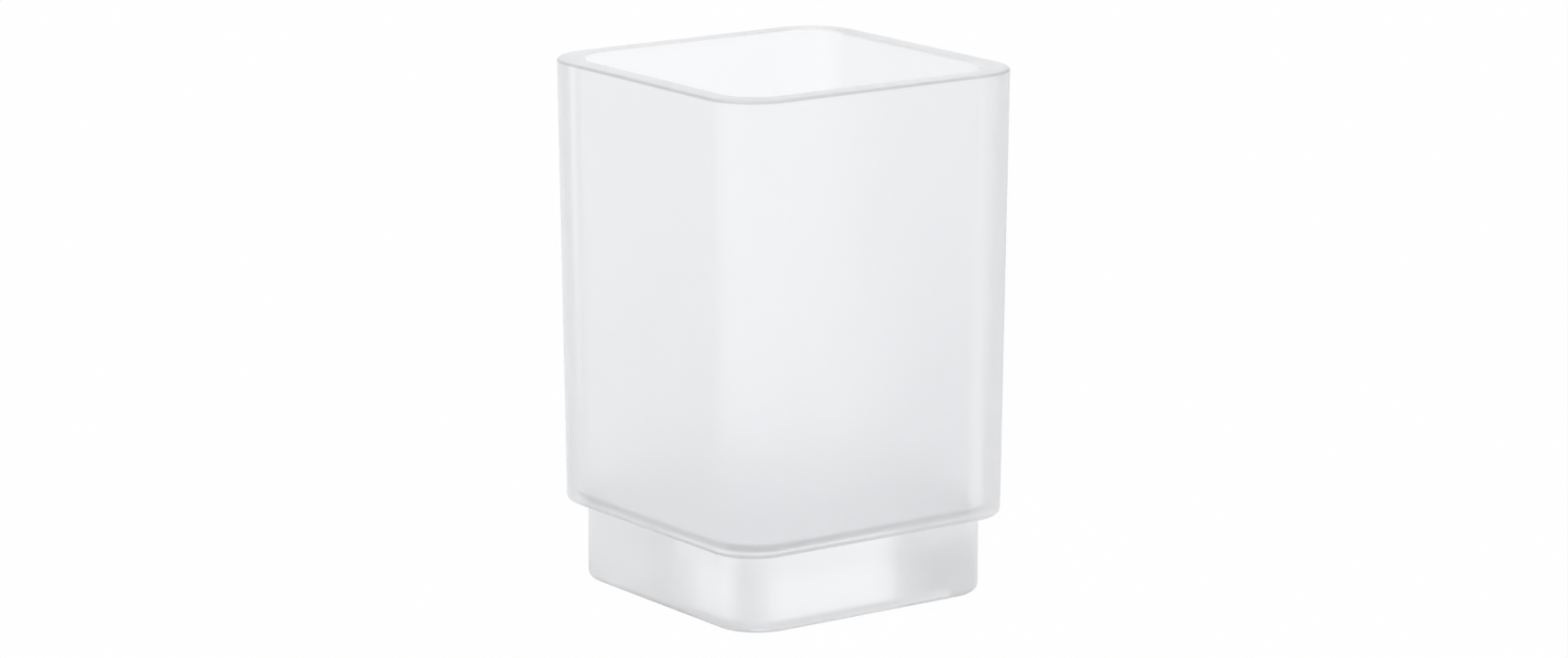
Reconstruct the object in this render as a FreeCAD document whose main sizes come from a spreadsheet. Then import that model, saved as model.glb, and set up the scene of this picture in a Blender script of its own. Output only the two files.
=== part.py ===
import FreeCAD, Part
import math
import os

import Sketcher

# A square tumbler for the bathroom, pressed from one piece of glass and etched to a satin finish.
# Its wall leans out a little towards the rim. A stepped-in foot of solid glass drops into a square
# holder ring, where the ledge above the foot carries it, and it also stands by itself on that foot.
# Frame: +Z up, origin at the middle of the standing plane, X and Y square to the flats.

NODE = "glass_tumbler"

# Each row is a driving dimension: its name, its value in millimetres or degrees, and what it measures.
DIMENSIONS = (
    ("total_height", 100.0, "standing plane to the top of the rim"),
    ("rim_width", 66.2, "outside, across the flats, at the rim"),
    ("rim_corner_radius", 10.2, "outside corner in plan, at the rim"),
    ("draft_angle", 0.8, "lean of the outer wall and of the cavity wall, in degrees"),
    ("wall_thickness", 4.5, "glass between the cavity and the outside"),
    ("cavity_corner_radius", 7.8, "inside corner in plan, at the rim"),
    ("floor_rounding", 2.0, "hollow rounding between the cavity's wall and its floor"),
    ("rim_rounding", 0.6, "both edges of the rim"),
    ("foot_height", 15.0, "standing plane to the ledge"),
    ("ledge_width", 2.9, "overhang of the body beyond the foot"),
    ("floor_rise", 0.3, "ledge to the floor of the cavity, so that the foot is solid glass"),
    ("shoulder_rounding", 1.3, "lower edge of the body"),
    ("step_rounding", 0.5, "hollow rounding where the foot meets the ledge"),
    ("foot_rounding", 1.5, "lower edge of the foot"),
    ("standing_band", 4.5, "side of the foot to the hollow under the base"),
    ("punt_depth", 1.2, "depth of the hollow under the base"),
    ("punt_corner_radius", 4.6, "corner of that hollow in plan"),
    ("punt_slope", 45.0, "lean of that hollow's sides from upright, in degrees"),
    ("punt_rounding", 0.5, "both edges of that hollow"),
)

# A rounding takes at most this share of the wall, ledge or depth that it is cut from.
EDGE_SHARE = 0.45
# The hollow rounding of the floor stays under the cavity's corner radius by this share.
FLOOR_SHARE = 0.9
LEVEL_TOLERANCE = 1e-6

document = FreeCAD.newDocument("BathroomTumbler")
sheet = document.addObject("Spreadsheet::Sheet", "Dimensions")
for row, (name, value, meaning) in enumerate(DIMENSIONS, start=1):
    sheet.set(f"A{row}", name)
    sheet.set(f"B{row}", str(value))
    sheet.setAlias(f"B{row}", name)
    sheet.set(f"C{row}", meaning)
document.recompute()

# Sizes that follow from the driving dimensions, as expressions over the sheet.
TOTAL_HEIGHT = "Dimensions.total_height"
FOOT_HEIGHT = "Dimensions.foot_height"
STANDING_PLANE = "0"
BODY_HEIGHT = "(Dimensions.total_height - Dimensions.foot_height)"
FLOOR_HEIGHT = "(Dimensions.foot_height + Dimensions.floor_rise)"
CAVITY_DEPTH = f"(Dimensions.total_height - {FLOOR_HEIGHT})"
BODY_LEAN = f"{BODY_HEIGHT} * tan(Dimensions.draft_angle)"
CAVITY_LEAN = f"{CAVITY_DEPTH} * tan(Dimensions.draft_angle)"
SHOULDER_WIDTH = f"(Dimensions.rim_width - 2 * {BODY_LEAN})"
SHOULDER_RADIUS = f"(Dimensions.rim_corner_radius - {BODY_LEAN})"
FOOT_WIDTH = f"({SHOULDER_WIDTH} - 2 * Dimensions.ledge_width)"
CAVITY_WIDTH = "(Dimensions.rim_width - 2 * Dimensions.wall_thickness)"
FLOOR_RADIUS = f"(Dimensions.cavity_corner_radius - {CAVITY_LEAN})"
PUNT_WIDTH = f"({FOOT_WIDTH} - 2 * Dimensions.standing_band)"
RIM_ROUNDING = f"min(Dimensions.rim_rounding; {EDGE_SHARE} * Dimensions.wall_thickness)"
FLOOR_ROUNDING = f"min(Dimensions.floor_rounding; {FLOOR_SHARE} * {FLOOR_RADIUS})"
SHOULDER_ROUNDING = f"min(Dimensions.shoulder_rounding; {EDGE_SHARE} * Dimensions.ledge_width)"
STEP_ROUNDING = f"min(Dimensions.step_rounding; {EDGE_SHARE} * Dimensions.ledge_width)"
FOOT_ROUNDING = f"min(Dimensions.foot_rounding; {EDGE_SHARE} * Dimensions.standing_band)"
PUNT_ROUNDING = f"min(Dimensions.punt_rounding; {EDGE_SHARE} * Dimensions.punt_depth)"


def value_of(expression):
    """The number that an expression over the sheet comes to."""
    result = sheet.evalExpression(expression)
    return float(getattr(result, "Value", result))


def ground_plane(body):
    """The body's own XY plane."""
    return next(plane for plane in body.Origin.OriginFeatures if plane.Role == "XY_Plane")


def rounded_square(body, name, height, width, corner_radius):
    """A level sketch of a square with round corners, centred on the axis; its sizes are expressions."""
    sketch = body.newObject("Sketcher::SketchObject", name)
    sketch.AttachmentSupport = [(ground_plane(body), "")]
    sketch.MapMode = "FlatFace"
    sketch.setExpression("AttachmentOffset.Base.z", height)

    half = value_of(width) / 2
    radius = value_of(corner_radius)
    straight = half - radius
    up = FreeCAD.Vector(0, 0, 1)
    for quarter in range(4):
        turn = FreeCAD.Rotation(up, 90 * quarter)
        side_start = turn.multVec(FreeCAD.Vector(-straight, -half, 0))
        side_end = turn.multVec(FreeCAD.Vector(straight, -half, 0))
        centre = turn.multVec(FreeCAD.Vector(straight, -straight, 0))
        first_angle = math.radians(90 * quarter - 90)
        last_angle = math.radians(90 * quarter)
        sketch.addGeometry(Part.LineSegment(side_start, side_end))
        sketch.addGeometry(Part.ArcOfCircle(Part.Circle(centre, up, radius), first_angle, last_angle))

    front, right, back, left = 0, 2, 4, 6
    corners = (1, 3, 5, 7)
    for piece in range(8):
        sketch.addConstraint(Sketcher.Constraint("Tangent", piece, 2, (piece + 1) % 8, 1))
    for side in (front, back):
        sketch.addConstraint(Sketcher.Constraint("Horizontal", side))
    for side in (right, left):
        sketch.addConstraint(Sketcher.Constraint("Vertical", side))
    for corner in corners[1:]:
        sketch.addConstraint(Sketcher.Constraint("Equal", corners[0], corner))
    sketch.addConstraint(Sketcher.Constraint("Equal", front, right))
    sketch.addConstraint(Sketcher.Constraint("Symmetric", corners[0], 3, corners[2], 3, -1, 1))
    width_rule = sketch.addConstraint(Sketcher.Constraint("DistanceY", front, 1, back, 1, 2 * half))
    radius_rule = sketch.addConstraint(Sketcher.Constraint("Radius", corners[0], radius))
    sketch.setExpression(f"Constraints[{width_rule}]", width)
    sketch.setExpression(f"Constraints[{radius_rule}]", corner_radius)
    document.recompute()
    return sketch


def pad(body, name, sketch, length, lean="0"):
    """Raises a sketch by a length; a positive lean, in degrees, widens it on the way."""
    feature = body.newObject("PartDesign::Pad", name)
    feature.Profile = sketch
    feature.setExpression("Length", length)
    feature.setExpression("TaperAngle", lean)
    document.recompute()
    return feature


def pocket(body, name, sketch, depth, lean, upwards):
    """Hollows the body from a sketch, narrowing by the lean, and makes sure that glass was taken out."""
    before = body.Shape.Volume
    feature = body.newObject("PartDesign::Pocket", name)
    feature.Profile = sketch
    feature.Reversed = upwards
    feature.setExpression("Length", depth)
    feature.setExpression("TaperAngle", f"-({lean})")
    document.recompute()
    if not feature.Shape.Volume < before:
        raise RuntimeError(f"{name} cut nothing")
    return feature


def level_loop(shape, height, facing, outer):
    """Names of the edges round the level face at a height: its outer loop, or its inner one.

    facing is 1 for a face that looks up and -1 for one that looks down.
    """
    for face in shape.Faces:
        if not isinstance(face.Surface, Part.Plane) or abs(face.CenterOfMass.z - height) > LEVEL_TOLERANCE:
            continue
        if face.normalAt(0, 0).z * facing < 1 - LEVEL_TOLERANCE:
            continue
        loops = [wire for wire in face.Wires if wire.isSame(face.OuterWire) == outer]
        wanted = [edge for wire in loops for edge in wire.Edges]
        return [
            f"Edge{number}"
            for number, edge in enumerate(shape.Edges, start=1)
            if any(edge.isSame(one) for one in wanted)
        ]
    raise RuntimeError(f"no level face at {height:.3f} mm")


def rounding(body, name, radius, height, facing, loops):
    """Rounds the outer loop (True), the inner loop (False) or both of the level face at a height."""
    base = body.Tip
    edges = []
    for outer in loops:
        edges += level_loop(base.Shape, value_of(height), facing, outer)
    feature = body.newObject("PartDesign::Fillet", name)
    feature.Base = (base, edges)
    feature.setExpression("Radius", radius)
    document.recompute()
    return feature


def make_tumbler():
    """The tumbler, from the foot up to the rim and then hollowed, with its edges rounded last."""
    body = document.addObject("PartDesign::Body", "Tumbler")
    body.Label = NODE
    body.Placement = FreeCAD.Placement()

    foot = rounded_square(body, "FootOutline", STANDING_PLANE, FOOT_WIDTH, SHOULDER_RADIUS)
    pad(body, "Foot", foot, FOOT_HEIGHT)
    shoulder = rounded_square(body, "ShoulderOutline", FOOT_HEIGHT, SHOULDER_WIDTH, SHOULDER_RADIUS)
    pad(body, "Wall", shoulder, BODY_HEIGHT, "Dimensions.draft_angle")

    mouth = rounded_square(
        body, "MouthOutline", TOTAL_HEIGHT, CAVITY_WIDTH, "Dimensions.cavity_corner_radius"
    )
    pocket(body, "Cavity", mouth, CAVITY_DEPTH, "Dimensions.draft_angle", upwards=False)
    hollow = rounded_square(
        body, "PuntOutline", STANDING_PLANE, PUNT_WIDTH, "Dimensions.punt_corner_radius"
    )
    pocket(body, "Punt", hollow, "Dimensions.punt_depth", "Dimensions.punt_slope", upwards=True)

    rounding(body, "FloorRounding", FLOOR_ROUNDING, FLOOR_HEIGHT, 1, [True])
    rounding(body, "RimRounding", RIM_ROUNDING, TOTAL_HEIGHT, 1, [True, False])
    rounding(body, "ShoulderRounding", SHOULDER_ROUNDING, FOOT_HEIGHT, -1, [True])
    rounding(body, "StepRounding", STEP_ROUNDING, FOOT_HEIGHT, -1, [False])
    rounding(body, "PuntMouthRounding", PUNT_ROUNDING, STANDING_PLANE, -1, [False])
    rounding(body, "PuntCeilingRounding", PUNT_ROUNDING, "Dimensions.punt_depth", -1, [True])
    rounding(body, "FootRounding", FOOT_ROUNDING, STANDING_PLANE, -1, [True])
    return body


def check_document():
    """Stops if any object of the document failed to compute."""
    failed = [item.Name for item in document.Objects if {"Invalid", "Error"} & set(item.State)]
    if failed:
        raise RuntimeError("failed objects: " + ", ".join(failed))


def check_glass(shape):
    """Stops unless the shape is one sound solid."""
    if shape.isNull() or not shape.isValid() or len(shape.Solids) != 1:
        raise RuntimeError(f"{NODE} is not one valid solid")


tumbler = make_tumbler()
document.recompute()
check_document()
check_glass(tumbler.Shape)

os.makedirs("parts", exist_ok=True)
tumbler.Shape.exportStep(f"parts/{NODE}.step")
box = tumbler.Shape.optimalBoundingBox(False, False)
print(f"{NODE}: {box.XLength:.2f} x {box.YLength:.2f} x {box.ZLength:.2f} mm, "
      f"{tumbler.Shape.Volume / 1000:.1f} cm3 of glass")
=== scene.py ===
# %% [markdown]
# # A satin-glass bathroom tumbler
# The real object is a square tumbler, pressed from one piece of glass and then etched all over, so that
# it lets light through but no clear picture. Three things make its look: thick walls, the etched finish,
# and the bright room behind it that the glass gathers. This lesson builds them in that order. The shape
# comes first, ring by ring, then the glass, then the camera, and the room round it last.

# %% Load the measured solid
import math
from collections import namedtuple

import bpy
from mathutils import Matrix, Vector
from mathutils.bvhtree import BVHTree


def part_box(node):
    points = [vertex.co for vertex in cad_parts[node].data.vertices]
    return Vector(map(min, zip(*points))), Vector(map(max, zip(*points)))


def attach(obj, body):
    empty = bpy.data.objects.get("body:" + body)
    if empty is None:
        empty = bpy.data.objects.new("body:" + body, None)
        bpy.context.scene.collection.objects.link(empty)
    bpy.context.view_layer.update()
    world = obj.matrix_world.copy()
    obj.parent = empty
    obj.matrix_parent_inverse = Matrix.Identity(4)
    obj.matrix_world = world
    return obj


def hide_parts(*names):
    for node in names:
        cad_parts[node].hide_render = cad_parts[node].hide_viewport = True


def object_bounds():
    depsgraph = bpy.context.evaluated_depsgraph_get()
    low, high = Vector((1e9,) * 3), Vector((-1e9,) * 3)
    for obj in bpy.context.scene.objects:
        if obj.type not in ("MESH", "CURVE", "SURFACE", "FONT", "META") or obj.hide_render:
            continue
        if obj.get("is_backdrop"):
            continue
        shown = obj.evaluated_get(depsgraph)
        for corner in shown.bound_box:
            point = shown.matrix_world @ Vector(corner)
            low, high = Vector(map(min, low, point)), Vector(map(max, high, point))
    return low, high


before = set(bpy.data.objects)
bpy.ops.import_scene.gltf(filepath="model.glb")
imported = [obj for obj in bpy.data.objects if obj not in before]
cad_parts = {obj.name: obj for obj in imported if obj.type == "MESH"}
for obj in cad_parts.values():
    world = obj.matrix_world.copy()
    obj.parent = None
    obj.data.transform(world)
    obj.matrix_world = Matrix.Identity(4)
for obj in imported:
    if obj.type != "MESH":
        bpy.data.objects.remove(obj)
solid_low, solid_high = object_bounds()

MM = 0.001
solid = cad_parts["glass_tumbler"]
total_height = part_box("glass_tumbler")[1][2]
print(f"solid: {solid.name}, {total_height / MM:.1f} mm tall, {len(solid.data.polygons)} triangles")

# %% [markdown]
# ## Measuring the glass
# The solid gives every size, so nothing here is guessed twice. Its own triangles could be shown as they
# are, but light crosses several faces of glass, and long thin triangles can show as creases.
# So the solid is only measured, with rays, and a clean mesh of even quads is built to the same sizes.
# A level ray at a flat side gives the half width, and one at a corner tells how round that corner is.

# %% Measure half widths, corners and heights with rays
solid_tree = BVHTree.FromObject(solid, bpy.context.evaluated_depsgraph_get())
TO_FLAT = Vector((1.0, 0.0, 0.0))
TO_CORNER = Vector((1.0, 1.0, 0.0)).normalized()
UP = Vector((0.0, 0.0, 1.0))
outside_reach = 2 * total_height

Section = namedtuple("Section", "half centre")


def ray_hit(start, direction):
    """The first point of the glass along a ray."""
    return solid_tree.ray_cast(start, direction)[0]


def section(height, from_inside=False):
    """Half width and corner centre of the rounded square that the glass makes at a height."""
    reach = []
    for direction in (TO_FLAT, TO_CORNER):
        level = UP * height
        if from_inside:
            point = ray_hit(level, direction)
        else:
            point = ray_hit(level + direction * outside_reach, -direction)
        reach.append(math.hypot(point.x, point.y))
    flat, diagonal = reach
    return Section(flat, (diagonal - flat) / (math.sqrt(2) - 1))


def carried_to(height, low_height, high_height, from_inside=False):
    """A section carried along the straight slope between two heights to a third one."""
    low = section(low_height, from_inside)
    high = section(high_height, from_inside)
    share = (height - low_height) / (high_height - low_height)
    return Section(low.half + (high.half - low.half) * share, (low.centre + high.centre) / 2)


floor_height = ray_hit(UP * total_height, -UP).z
punt_depth = ray_hit(-UP * total_height, UP).z
foot = section(floor_height / 2)
wall_low, wall_high = 0.3 * total_height, 0.9 * total_height
ledge_probe = (foot.half + section(wall_low).half) / 2
ledge_height = ray_hit(TO_FLAT * ledge_probe - UP * total_height, UP).z
shoulder = carried_to(ledge_height, wall_low, wall_high)
rim_outside = carried_to(total_height, wall_low, wall_high)
rim_inside = carried_to(total_height, wall_low, wall_high, from_inside=True)
floor_edge = carried_to(floor_height, wall_low, wall_high, from_inside=True)
punt_low, punt_high = 0.35 * punt_depth, 0.65 * punt_depth
punt_mouth = carried_to(0.0, punt_low, punt_high, from_inside=True)
punt_ceiling = carried_to(punt_depth, punt_low, punt_high, from_inside=True)

wall_thickness = rim_outside.half - rim_inside.half
print(f"wall {wall_thickness / MM:.2f} mm, foot {2 * foot.half / MM:.2f} mm wide, "
      f"ledge at {ledge_height / MM:.2f} mm, floor at {floor_height / MM:.2f} mm")

# %% [markdown]
# ## The profile
# Cut through the middle of a flat side, the tumbler shows one closed line: up the hollow under the base,
# along the band that it stands on, up the foot, out along the ledge, up the wall, over the rim and down
# into the cup. A list of its corners is enough, because every corner of pressed glass is a small arc.
# Each corner also says how strongly the acid bit there: most at the bottom of the cup and least under the
# base, where a smoother skin lets the foot show soft bright and dark bands. Three edges catch a thin dark
# line: the outer edge of the rim, the lower edge of the foot and the corner round the cup's floor. Bent
# light makes a part of such a line here, and a painted shade, a darker tint on the arc, makes up the rest.

# %% List the corners of the profile
RIM_ROUNDING = 0.6 * MM
FLOOR_ROUNDING = 2.0 * MM
SHOULDER_ROUNDING = 1.3 * MM
STEP_ROUNDING = 0.5 * MM
FOOT_ROUNDING = 1.5 * MM
PUNT_ROUNDING = 0.5 * MM

BASE_ETCH = 0.17
OUTSIDE_ETCH = 0.28
CUP_ETCH = 0.55

# Strength of the painted shade on the three edges, on top of the darkening from bent light.
RIM_PAINTED_SHADE = 0.9
FOOT_PAINTED_SHADE = 0.7
CUP_FLOOR_PAINTED_SHADE = 0.75

Corner = namedtuple("Corner", "half height centre rounding etch edge")


def corner(at, height, rounding, etch, edge=0.0):
    """One corner of the profile, on a measured section at a height."""
    return Corner(at.half, height, at.centre, rounding, etch, edge)


profile = [
    Corner(0.0, punt_depth, 0.0, 0.0, BASE_ETCH, 0.0),
    corner(punt_ceiling, punt_depth, PUNT_ROUNDING, BASE_ETCH),
    corner(punt_mouth, 0.0, PUNT_ROUNDING, BASE_ETCH),
    corner(foot, 0.0, FOOT_ROUNDING, OUTSIDE_ETCH, FOOT_PAINTED_SHADE),
    corner(foot, ledge_height, STEP_ROUNDING, OUTSIDE_ETCH),
    corner(shoulder, ledge_height, SHOULDER_ROUNDING, OUTSIDE_ETCH),
    corner(rim_outside, total_height, RIM_ROUNDING, OUTSIDE_ETCH, RIM_PAINTED_SHADE),
    corner(rim_inside, total_height, RIM_ROUNDING, OUTSIDE_ETCH),
    corner(floor_edge, floor_height, FLOOR_ROUNDING, CUP_ETCH, CUP_FLOOR_PAINTED_SHADE),
    Corner(0.0, floor_height, 0.0, 0.0, CUP_ETCH, 0.0),
]
print(f"profile: {len(profile)} corners, from the hollow under the base to the floor of the cup")

# %% [markdown]
# ## From corners to stations
# A station is a place on the profile where one ring of the mesh will run. A bevel modifier could round
# the corners after the sweep. Here each corner is worked out as an arc instead, so the outward direction of
# the glass is known exactly at every station and can be given to the mesh as its normal. That keeps
# reflections and refraction free of facets.

# %% Round the corners and fill the straight runs
ARC_STEPS = 8
RUN_SPACING = 5.0 * MM

Station = namedtuple("Station", "half height centre out up etch edge")


def rounded_corner(before, here, after):
    """Stations along the arc that rounds one corner of the profile."""
    point = Vector((here.half, here.height))
    back = (Vector((before.half, before.height)) - point).normalized()
    ahead = (Vector((after.half, after.height)) - point).normalized()
    opening = back.angle(ahead)
    middle = point + (back + ahead).normalized() * (here.rounding / math.sin(opening / 2))
    first = point + back * (here.rounding / math.tan(opening / 2)) - middle
    turn = math.pi - opening
    if back.cross(ahead) > 0:
        turn = -turn
    hollow = turn < 0
    stations = []
    for step in range(ARC_STEPS + 1):
        share = step / ARC_STEPS
        spoke = Matrix.Rotation(turn * share, 2) @ first
        away = -spoke.normalized() if hollow else spoke.normalized()
        place = middle + spoke
        # The painted shade is darkest a quarter of the way round, so that the line hugs the face before the
        # corner.
        edge = here.edge * math.sin(math.pi * math.sqrt(share))
        stations.append(Station(place.x, place.y, here.centre, away.x, away.y, here.etch, edge))
    return stations


def straight_run(start, end):
    """Stations between two arcs, evenly spaced, without the two ends."""
    length = math.hypot(end.half - start.half, end.height - start.height)
    pieces = max(1, round(length / RUN_SPACING))
    stations = []
    for piece in range(1, pieces):
        share = piece / pieces
        mixed = [a + (b - a) * share for a, b in zip(start, end)]
        stations.append(Station(*mixed))
    return stations


stations = []
for before, here, after in zip(profile, profile[1:], profile[2:]):
    arc = rounded_corner(before, here, after)
    if stations:
        stations += straight_run(stations[-1], arc[0])
    stations += arc
print(f"stations: {len(stations)} rings along the profile")

# %% [markdown]
# ## Rings
# In plan each station is a square with round corners. Its points start in the middle of one corner and go
# round, with the same count on every ring, so that neighbouring rings join into a net of quads. Starting
# in a corner also makes the four sides equal, which the level faces in the middle will need.

# %% Sweep the stations into a net of quads
CORNER_STEPS = 16
SIDE_STEPS = 18
side_points = CORNER_STEPS + SIDE_STEPS
ring_points = 4 * side_points

vertices = []
normals = []
etch_values = []
edge_shade_values = []
quads = []


def add_vertex(place, normal, etch, edge):
    """Stores one vertex with its normal, its etch and its painted edge shade, and gives its number."""
    vertices.append(place)
    normals.append(normal)
    etch_values.append(etch)
    edge_shade_values.append(edge)
    return len(vertices) - 1


def side_outline(half, centre):
    """Points of one side with half a corner at each end, and the level direction that each faces."""
    radius = half - centre
    outline = []
    for step in range(-CORNER_STEPS // 2, 0):
        angle = math.radians(90 * step / CORNER_STEPS)
        facing = Vector((math.cos(angle), math.sin(angle), 0))
        outline.append((Vector((centre, -centre, 0)) + facing * radius, facing))
    for step in range(SIDE_STEPS):
        along = -centre + 2 * centre * step / SIDE_STEPS
        outline.append((Vector((half, along, 0)), TO_FLAT.copy()))
    for step in range(CORNER_STEPS // 2):
        angle = math.radians(90 * step / CORNER_STEPS)
        facing = Vector((math.cos(angle), math.sin(angle), 0))
        outline.append((Vector((centre, centre, 0)) + facing * radius, facing))
    return outline


def add_ring(station):
    """One ring of vertices round the tumbler."""
    numbers = []
    outline = side_outline(station.half, station.centre)
    for quarter in range(4):
        turn = Matrix.Rotation(math.radians(90 * quarter), 3, "Z")
        for place, facing in outline:
            here = turn @ place + UP * station.height
            normal = turn @ facing * station.out + UP * station.up
            numbers.append(add_vertex(here, normal, station.etch, station.edge))
    return numbers


rings = [add_ring(station) for station in stations]
for lower, upper in zip(rings, rings[1:]):
    for here in range(ring_points):
        following = (here + 1) % ring_points
        quads.append((lower[here], lower[following], upper[following], upper[here]))
print(f"sweep: {len(vertices)} vertices, {len(quads)} quads")

# %% [markdown]
# ## The two level faces
# The floor of the cup and the ceiling of the hollow under the base close the net. One big polygon would be
# flat too, but it would hold finish values only along its outline. A grid is stretched over the ring
# instead: every inner point is blended from the four sides of its ring.

# %% Span the floor of the cup and the hollow under the base


def span_ring(ring, facing):
    """Fills a level ring with a grid of quads that face up (1) or down (-1)."""
    last = side_points
    number = {}
    for step in range(last + 1):
        number[last, step] = ring[step]
        number[last - step, last] = ring[last + step]
        number[0, last - step] = ring[2 * last + step]
        number[step, 0] = ring[(3 * last + step) % ring_points]
    place = {key: vertices[value] for key, value in number.items()}
    etch = etch_values[ring[0]]
    for column in range(1, last):
        for row in range(1, last):
            u, v = column / last, row / last
            across = place[0, row] * (1 - u) + place[last, row] * u
            along = place[column, 0] * (1 - v) + place[column, last] * v
            low_side = place[0, 0] * (1 - u) + place[last, 0] * u
            high_side = place[0, last] * (1 - u) + place[last, last] * u
            middle = across + along - low_side * (1 - v) - high_side * v
            number[column, row] = add_vertex(middle, UP * facing, etch, 0.0)
    for column in range(last):
        for row in range(last):
            quad = [number[column, row], number[column + 1, row],
                    number[column + 1, row + 1], number[column, row + 1]]
            quads.append(tuple(quad if facing > 0 else reversed(quad)))


span_ring(rings[0], -1)
span_ring(rings[-1], 1)
print(f"closed net: {len(vertices)} vertices, {len(quads)} quads")

# %% [markdown]
# ## The glass as an object
# The net becomes a mesh, and two values of every vertex go along as named attributes, which the
# material can read later: how strongly the glass is etched, and where a painted shade darkens an edge.
# The normals that were worked out above are set as custom ones. The piece stands for the measured
# solid, which is hidden, and it rides on the root body.

# %% Make the tumbler from the net


def make_glass_piece(name):
    """The tumbler's mesh object with exact normals, its etch attribute and its painted edge-shade attribute.
    """
    mesh = bpy.data.meshes.new(name)
    mesh.from_pydata(vertices, [], quads)
    for label, values in (("etch", etch_values), ("edge", edge_shade_values)):
        layer = mesh.attributes.new(label, "FLOAT", "POINT")
        layer.data.foreach_set("value", values)
    mesh.shade_smooth()
    mesh.normals_split_custom_set_from_vertices([normal.normalized() for normal in normals])
    piece = bpy.data.objects.new(name, mesh)
    bpy.context.scene.collection.objects.link(piece)
    return piece


tumbler = make_glass_piece("pressed_glass")
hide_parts("glass_tumbler")
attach(tumbler, "root")
print(f"piece: {tumbler.name}, {len(tumbler.data.polygons)} faces")

# %% [markdown]
# ## Satin glass
# Etched glass is clear inside and finely pitted outside. Each pit bends light its own way, so the sum is a
# soft blur: that is what the roughness of a transmitting surface means. Mixing in white paint would give
# the same brightness but hide the thickness, so the glass stays fully clear and only its skin is rough.
# Acid never bites evenly: the roughness drifts a little over a centimetre or two, and a fine grain shows up
# close. Pressing leaves a faint ripple in the faces, far too shallow to see except in the light it bends.
# All three are noise of a real size, so the first cell makes small helpers for noise, bump and tint.

# %% Make helpers for noise, bump and tint
GLASS_TINT = (0.979, 0.984, 0.995, 1.0)
CLOUDY_TINT = (0.974, 0.979, 0.990, 1.0)
# Colour of the painted shade on three edges of the glass.
PAINTED_EDGE_SHADE = (0.5, 0.5, 0.505, 1.0)
GLASS_IOR = 1.5
GRAIN_SIZE = 0.3 * MM
GRAIN_HEIGHT = 0.001 * MM
RIPPLE_SIZE = 14 * MM
RIPPLE_HEIGHT = 0.02 * MM
CLOUD_SIZE = 18 * MM
CLOUD_ETCH = 0.03
GRAIN_ETCH = 0.02


def add_noise(tree, size, detail):
    """A noise texture whose features measure about the given size, in metres."""
    coordinates = tree.nodes.new("ShaderNodeTexCoord")
    noise = tree.nodes.new("ShaderNodeTexNoise")
    noise.inputs["Scale"].default_value = 1 / size
    noise.inputs["Detail"].default_value = detail
    tree.links.new(coordinates.outputs["Object"], noise.inputs["Vector"])
    return noise.outputs["Fac"]


def add_attribute(tree, label):
    """The value of a mesh attribute."""
    reader = tree.nodes.new("ShaderNodeAttribute")
    reader.attribute_name = label
    return reader.outputs["Fac"]


def add_rise(tree, base, noise, rise):
    """A value that rises from its base by up to a given amount, as the noise goes."""
    total = tree.nodes.new("ShaderNodeMath")
    total.operation = "MULTIPLY_ADD"
    tree.links.new(noise, total.inputs[0])
    total.inputs[1].default_value = rise
    tree.links.new(base, total.inputs[2])
    return total.outputs["Value"]


def add_bump(tree, height, depth, normal=None):
    """A bump of a real depth, in metres, on top of another normal if there is one."""
    bump = tree.nodes.new("ShaderNodeBump")
    bump.inputs["Distance"].default_value = depth
    tree.links.new(height, bump.inputs["Height"])
    if normal:
        tree.links.new(normal, bump.inputs["Normal"])
    return bump.outputs["Normal"]


def add_tint(tree, share, first, second):
    """A colour between two tints; either may be a colour or another node's output."""
    mix = tree.nodes.new("ShaderNodeMix")
    mix.data_type = "RGBA"
    tree.links.new(share, mix.inputs["Factor"])
    for socket, colour in ((mix.inputs[6], first), (mix.inputs[7], second)):
        if isinstance(colour, tuple):
            socket.default_value = colour
        else:
            tree.links.new(colour, socket)
    return mix.outputs[2]


print(f"finish: grain {GRAIN_SIZE / MM:.1f} mm, ripple {RIPPLE_SIZE / MM:.0f} mm, "
      f"clouds {CLOUD_SIZE / MM:.0f} mm")

# %% [markdown]
# ## Putting the glass together
# One shader is enough: a fully transmitting surface whose roughness, tint and bump come from the finish,
# with a painted shade in the tint along three edges.
# Clouds and grain only ever add to the roughness of a face. When they swung both ways, small
# dark specks stayed in the cleaned-up picture. With every face but the underside at 0.28 or rougher nearly
# all were gone. One dot is left, at the rim's right inner corner, and its cause isn't known.

# %% Mix the satin glass


def make_satin_glass():
    """Clear glass with an etched skin: rough by zone, cloudy, finely grained, faintly rippled, and darkened
    by a painted shade on three edges.
    """
    material = bpy.data.materials.new("satin_glass")
    material.use_nodes = True
    tree = material.node_tree
    shader = tree.nodes["Principled BSDF"]
    shader.inputs["Transmission Weight"].default_value = 1.0
    shader.inputs["IOR"].default_value = GLASS_IOR

    clouds = add_noise(tree, CLOUD_SIZE, detail=2.0)
    grain = add_noise(tree, GRAIN_SIZE, detail=2.0)
    ripple = add_noise(tree, RIPPLE_SIZE, detail=0.0)

    body_tint = add_tint(tree, clouds, GLASS_TINT, CLOUDY_TINT)
    # A painted shade darkens the tint along the rim's outer edge, the foot's lower edge and the cup floor's
    # corner.
    tint = add_tint(tree, add_attribute(tree, "edge"), body_tint, PAINTED_EDGE_SHADE)
    etch = add_rise(tree, add_attribute(tree, "etch"), clouds, CLOUD_ETCH)
    etch = add_rise(tree, etch, grain, GRAIN_ETCH)
    surface = add_bump(tree, ripple, RIPPLE_HEIGHT)
    surface = add_bump(tree, grain, GRAIN_HEIGHT, surface)

    tree.links.new(tint, shader.inputs["Base Color"])
    tree.links.new(etch, shader.inputs["Roughness"])
    tree.links.new(surface, shader.inputs["Normal"])
    return material


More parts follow.
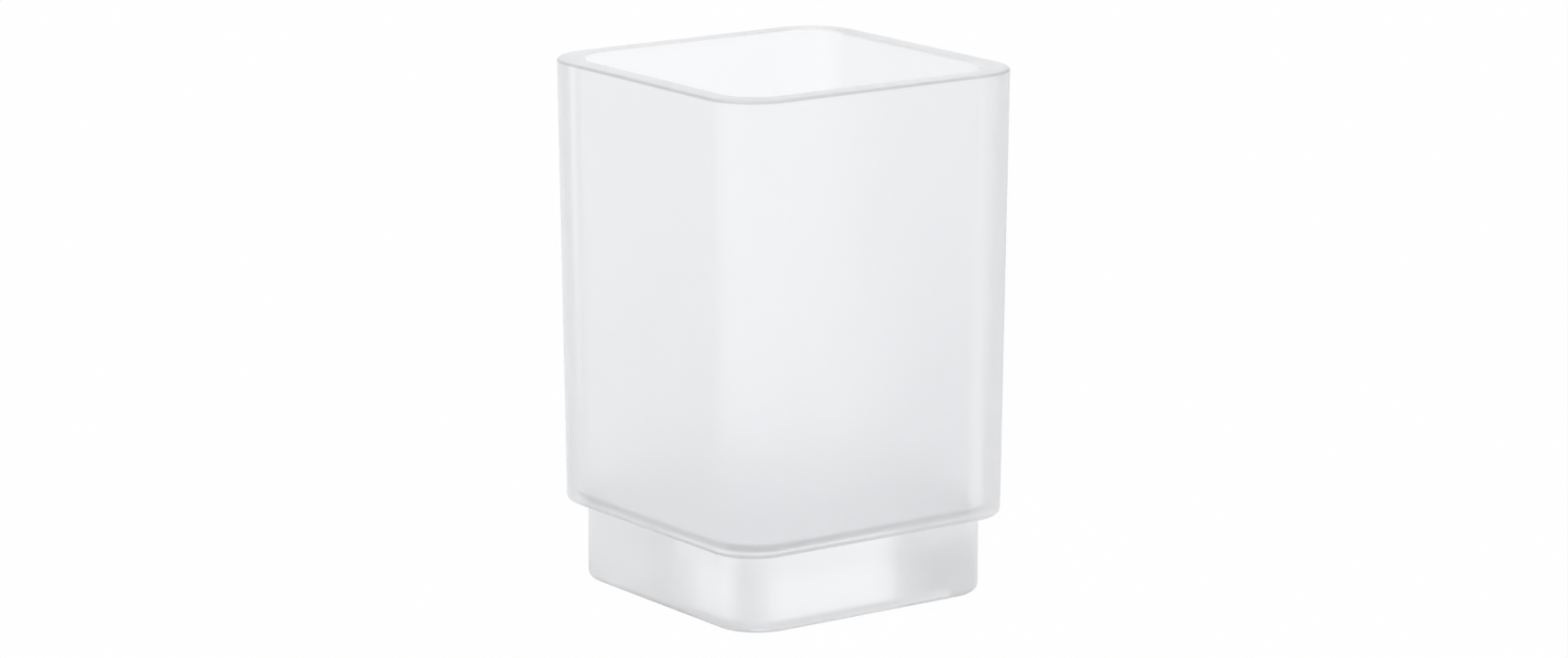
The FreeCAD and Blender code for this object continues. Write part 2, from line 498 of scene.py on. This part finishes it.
tumbler.data.materials.append(make_satin_glass())
print(f"material: {tumbler.data.materials[0].name}, etched {OUTSIDE_ETCH} outside and {CUP_ETCH} in the cup")

# %% [markdown]
# ## The camera
# The picture was taken from about a metre away with a long lens, a little above the rim, so the sides stay
# almost parallel. The bearing is counted from the view straight at a flat side. The camera comes before
# the room, because the studio is arranged round it: bright behind the tumbler, dimmer behind the camera.

# %% Place the camera
LENS = 125.83
SENSOR_WIDTH = 36.0
CAMERA_DISTANCE = 1.0297
CAMERA_BEARING = math.radians(-35.55)
CAMERA_ELEVATION = math.radians(12.485)
AIM_HEIGHT = 49.16 * MM
AIM_SIDE = 0.3 * MM

to_right = Vector((math.cos(CAMERA_BEARING), math.sin(CAMERA_BEARING), 0))
level_to_camera = Vector((math.sin(CAMERA_BEARING), -math.cos(CAMERA_BEARING), 0))
to_camera = level_to_camera * math.cos(CAMERA_ELEVATION) + UP * math.sin(CAMERA_ELEVATION)
aim = UP * AIM_HEIGHT + to_right * AIM_SIDE


def make_camera():
    """A long-lens camera that looks at the aim point."""
    data = bpy.data.cameras.new("studio_camera")
    data.lens = LENS
    data.sensor_width = SENSOR_WIDTH
    data.sensor_fit = "HORIZONTAL"
    camera = bpy.data.objects.new("studio_camera", data)
    bpy.context.scene.collection.objects.link(camera)
    turn = Matrix((to_right, to_camera.cross(to_right), to_camera)).transposed()
    camera.matrix_world = Matrix.Translation(aim + to_camera * CAMERA_DISTANCE) @ turn.to_4x4()
    return camera


bpy.context.scene.camera = make_camera()
print(f"camera: {CAMERA_DISTANCE} m away, lens {LENS} mm")

# %% [markdown]
# ## The studio
# Glass has no colour of its own to show, so it shows the room. White cloth stands round the back and the
# sides, with a gap on the left, a fold to the right of the middle, a smaller gap on the right and the dimmer
# half of the room behind the camera. Their levels come from matching the greys of the glass in the
# photograph, and rounded. A few softbox lamps would do for paint or metal. For etched glass a ring of
# brightness round the horizon is simpler and has no hard corners: one ramp goes once round the room.

# %% Set the levels round the room
WHITE = (1.0, 1.0, 1.0, 1.0)
CLOTH = 1.0
LEFT_GAP = 0.55
RIGHT_FOLD = 0.8
RIGHT_GAP = 0.8
CAMERA_SIDE = 0.7
HIGH_BACK = 0.5
HIGH_CAMERA_SIDE = 0.85

# Degrees to the right of straight behind the tumbler, and the level of white there.
WALL_LEVELS = (
    (-180, CAMERA_SIDE),
    (-115, CLOTH),
    (-70, LEFT_GAP),
    (-40, CLOTH),
    (10, CLOTH),
    (25, RIGHT_FOLD),
    (80, CLOTH),
    (115, RIGHT_GAP),
    (180, CAMERA_SIDE),
)
# The same above the walls, where the cloth leans in.
HIGH_LEVELS = (
    (-180, HIGH_CAMERA_SIDE),
    (-90, HIGH_BACK),
    (0, HIGH_BACK),
    (90, CLOTH),
    (180, HIGH_CAMERA_SIDE),
)


def add_dot(tree, direction, axis):
    """How far a direction points along an axis."""
    dot = tree.nodes.new("ShaderNodeVectorMath")
    dot.operation = "DOT_PRODUCT"
    dot.inputs[1].default_value = axis
    tree.links.new(direction, dot.inputs[0])
    return dot.outputs["Value"]


def add_range(tree, value, low, high, to_low=0.0, to_high=1.0, smooth=False):
    """A value brought from one range to another, by default from 0 to 1."""
    scale = tree.nodes.new("ShaderNodeMapRange")
    scale.interpolation_type = "SMOOTHSTEP" if smooth else "LINEAR"
    scale.inputs["From Min"].default_value = low
    scale.inputs["From Max"].default_value = high
    scale.inputs["To Min"].default_value = to_low
    scale.inputs["To Max"].default_value = to_high
    tree.links.new(value, scale.inputs["Value"])
    return scale.outputs["Result"]


def add_room_ramp(tree, direction, levels):
    """The level of white round the room, by bearing."""
    bearing = tree.nodes.new("ShaderNodeMath")
    bearing.operation = "ARCTAN2"
    tree.links.new(add_dot(tree, direction, to_right), bearing.inputs[0])
    tree.links.new(add_dot(tree, direction, -level_to_camera), bearing.inputs[1])
    ramp = tree.nodes.new("ShaderNodeValToRGB")
    ramp.color_ramp.interpolation = "EASE"
    stops = ramp.color_ramp.elements
    stops.remove(stops[1])
    for number, (degrees, level) in enumerate(levels):
        place = degrees / 360 + 0.5
        stop = stops[0] if number == 0 else stops.new(place)
        stop.position = place
        stop.color = (level, level, level, 1)
    tree.links.new(add_range(tree, bearing.outputs["Value"], -math.pi, math.pi), ramp.inputs["Fac"])
    return ramp.outputs["Color"]


print(f"room: {len(WALL_LEVELS)} levels round the walls, {len(HIGH_LEVELS)} above them")

# %% [markdown]
# ## The floor as the glass sees it
# Making the floor dark in a test showed how much of the light in the glass comes from it: nearly three
# quarters in the body, and more than a third in the foot. To the glass the floor is as bright as the part of
# the room that it lies in front of. Close to the foot it is darker, most of all on the camera's side, which
# is turned from the bright back wall. Under the foot it is an even light grey. None of this is a real
# shadow: it is painted by place on the floor, and only the glass sees it.

# %% Shade the floor under and beside the foot
CONTACT_INSET = 1.0 * MM
CONTACT_SOFTNESS = 3.0 * MM
SHADE_BEARING = math.radians(-150)
SHADE_DEPTH = 0.88
SHADE_ALL_ROUND = 0.12
SHADE_REACH = 60 * MM


def add_vector_steps(tree, vector, steps):
    """A vector taken through a row of vector operations."""
    for operation, operand in steps:
        step = tree.nodes.new("ShaderNodeVectorMath")
        step.operation = operation
        tree.links.new(vector, step.inputs[0])
        if operand:
            step.inputs[1].default_value = operand
        vector = step.outputs["Value" if operation == "LENGTH" else "Vector"]
    return vector


def add_product(tree, first, second):
    """Two values multiplied."""
    product = tree.nodes.new("ShaderNodeMath")
    product.operation = "MULTIPLY"
    tree.links.new(first, product.inputs[0])
    if isinstance(second, float):
        product.inputs[1].default_value = second
    else:
        tree.links.new(second, product.inputs[1])
    return product.outputs["Value"]


def add_under_foot(tree, place):
    """1 under the foot and 0 on the open floor, with a soft change just inside the foot's outline."""
    beyond_centres = add_vector_steps(tree, place, (
        ("ABSOLUTE", None),
        ("SUBTRACT", (foot.centre, foot.centre, 0)),
        ("MAXIMUM", (0, 0, 0)),
        ("LENGTH", None),
    ))
    outline = foot.half - foot.centre - CONTACT_INSET
    return add_range(tree, beyond_centres, outline, outline - CONTACT_SOFTNESS, smooth=True)


def add_own_shade(tree, place):
    """How much darker the floor is close to the tumbler, most on the side away from the bright wall."""
    shade_way = level_to_camera * -math.cos(SHADE_BEARING) + to_right * math.sin(SHADE_BEARING)
    level_way = add_vector_steps(tree, place, (("NORMALIZE", None),))
    on_that_side = add_range(
        tree, add_dot(tree, level_way, shade_way), 0.0, 1.0, SHADE_ALL_ROUND, SHADE_DEPTH, smooth=True)
    distance = add_vector_steps(tree, place, (("LENGTH", None),))
    close_by = add_range(tree, distance, SHADE_REACH, foot.half, smooth=True)
    return add_product(tree, on_that_side, close_by)


print(f"shade: reaches {SHADE_REACH / MM:.0f} mm from the middle, "
      f"up to {SHADE_DEPTH:.0%} dark beside the foot")

# %% [markdown]
# ## The white floor
# The tumbler stands on a white sweep that fills the whole picture. Paint alone never quite reaches white,
# so most of the floor's white is its own, and the rest is real paint that takes the shadow. The Light Path
# node tells who is looking: the camera sees the sweep evenly white, and the glass sees it shaded.

# %% Paint and lay the floor
FLOOR_PAINT = (0.9, 0.9, 0.9, 1.0)
OWN_WHITE = 0.97
UNDER_FOOT = (0.75, 0.75, 0.75, 1.0)
BLACK = (0.0, 0.0, 0.0, 1.0)
FLOOR_SIZE = 6.0
FLOOR_GAP = 0.1 * MM


def make_floor_paint():
    """White paint with a glow of its own: even for the camera, shaded by place for the glass."""
    material = bpy.data.materials.new("white_sweep")
    material.use_nodes = True
    tree = material.node_tree
    paint = tree.nodes["Principled BSDF"]
    paint.inputs["Base Color"].default_value = FLOOR_PAINT
    paint.inputs["Roughness"].default_value = 0.9
    paint.inputs["Specular IOR Level"].default_value = 0.0

    place = tree.nodes.new("ShaderNodeNewGeometry").outputs["Position"]
    open_floor = add_room_ramp(tree, place, WALL_LEVELS)
    shaded_floor = add_tint(tree, add_own_shade(tree, place), open_floor, BLACK)
    floor_to_glass = add_tint(tree, add_under_foot(tree, place), shaded_floor, UNDER_FOOT)
    ray = tree.nodes.new("ShaderNodeLightPath")
    seen = ray.outputs["Is Camera Ray"]
    glow = tree.nodes.new("ShaderNodeEmission")
    tree.links.new(add_tint(tree, seen, floor_to_glass, WHITE), glow.inputs["Color"])
    for kind in ("Is Glossy Ray", "Is Transmission Ray"):
        either = tree.nodes.new("ShaderNodeMath")
        either.operation = "MAXIMUM"
        tree.links.new(seen, either.inputs[0])
        tree.links.new(ray.outputs[kind], either.inputs[1])
        seen = either.outputs["Value"]

    both = tree.nodes.new("ShaderNodeMixShader")
    tree.links.new(add_product(tree, seen, OWN_WHITE), both.inputs["Fac"])
    tree.links.new(paint.outputs["BSDF"], both.inputs[1])
    tree.links.new(glow.outputs["Emission"], both.inputs[2])
    tree.links.new(both.outputs["Shader"], tree.nodes["Material Output"].inputs["Surface"])
    return material


def make_floor():
    """A wide white plane just under the foot."""
    reach = FLOOR_SIZE / 2
    mesh = bpy.data.meshes.new("white_floor")
    edges = [(-reach, -reach, 0), (reach, -reach, 0), (reach, reach, 0), (-reach, reach, 0)]
    mesh.from_pydata(edges, [], [(0, 1, 2, 3)])
    mesh.materials.append(make_floor_paint())
    floor = bpy.data.objects.new("white_floor", mesh)
    floor.location.z = -FLOOR_GAP
    bpy.context.scene.collection.objects.link(floor)
    return floor


make_floor()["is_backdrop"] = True
print(f"floor: {FLOOR_SIZE} m square, {FLOOR_GAP / MM} mm under the foot")

# %% [markdown]
# ## The tent
# What isn't floor is cloth. To the glass the world has the level of the room in each direction, with the
# ceiling above. To the camera it is plain white, like the floor, so that no horizon shows in any view.

# %% Hang the tent
CEILING_LEVEL = 1.35
WALL_TOP = (math.sin(math.radians(22)), math.sin(math.radians(38)))
CEILING_EDGE = (math.sin(math.radians(57)), math.sin(math.radians(73)))


def make_studio():
    """A world that is white to the camera and a soft white tent to everything else."""
    world = bpy.data.worlds.new("white_tent")
    world.use_nodes = True
    tree = world.node_tree
    direction = tree.nodes.new("ShaderNodeTexCoord").outputs["Generated"]
    height = tree.nodes.new("ShaderNodeSeparateXYZ")
    tree.links.new(direction, height.inputs["Vector"])
    above_walls = add_range(tree, height.outputs["Z"], *WALL_TOP, smooth=True)
    overhead = add_range(tree, height.outputs["Z"], *CEILING_EDGE, smooth=True)
    walls = add_room_ramp(tree, direction, WALL_LEVELS)
    sides = add_tint(tree, above_walls, walls, add_room_ramp(tree, direction, HIGH_LEVELS))
    ceiling = (CEILING_LEVEL, CEILING_LEVEL, CEILING_LEVEL, 1.0)
    room = add_tint(tree, overhead, sides, ceiling)
    to_lens = tree.nodes.new("ShaderNodeLightPath").outputs["Is Camera Ray"]
    colour = add_tint(tree, to_lens, room, WHITE)
    tree.links.new(colour, tree.nodes["Background"].inputs["Color"])
    return world


bpy.context.scene.world = make_studio()
print(f"tent: ceiling level {CEILING_LEVEL}")

# %% [markdown]
# ## Letting light travel
# Light can bounce many times inside the glass before it finds a way out. With 8 bounces instead of 40 the
# glass came out darker, the flat top of the rim by up to 29 tones of 255, so the limits are raised. The
# glossy filter, which blurs later bounces to calm noise, is switched off too: with it on, the body came out
# at 0.69 of white instead of 0.84. The plain view transform keeps white paper white.

# %% Set the light paths
LONGEST_PATH = 40
scene = bpy.context.scene
scene.cycles.max_bounces = LONGEST_PATH
scene.cycles.glossy_bounces = LONGEST_PATH
scene.cycles.transmission_bounces = LONGEST_PATH
scene.cycles.blur_glossy = 0.0
scene.view_settings.view_transform = "Standard"
print(f"light paths: up to {LONGEST_PATH} bounces")

# %% [markdown]
# ## Checking the size
# The glass must fill the same space as the solid that it stands for. The largest gap between their
# two boxes is printed.

# %% Compare the boxes
glass_low, glass_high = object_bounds()
spread = max(abs(a - b) for a, b in zip([*glass_low, *glass_high], [*solid_low, *solid_high]))
print(f"boxes differ by {spread / MM:.3f} mm at most")
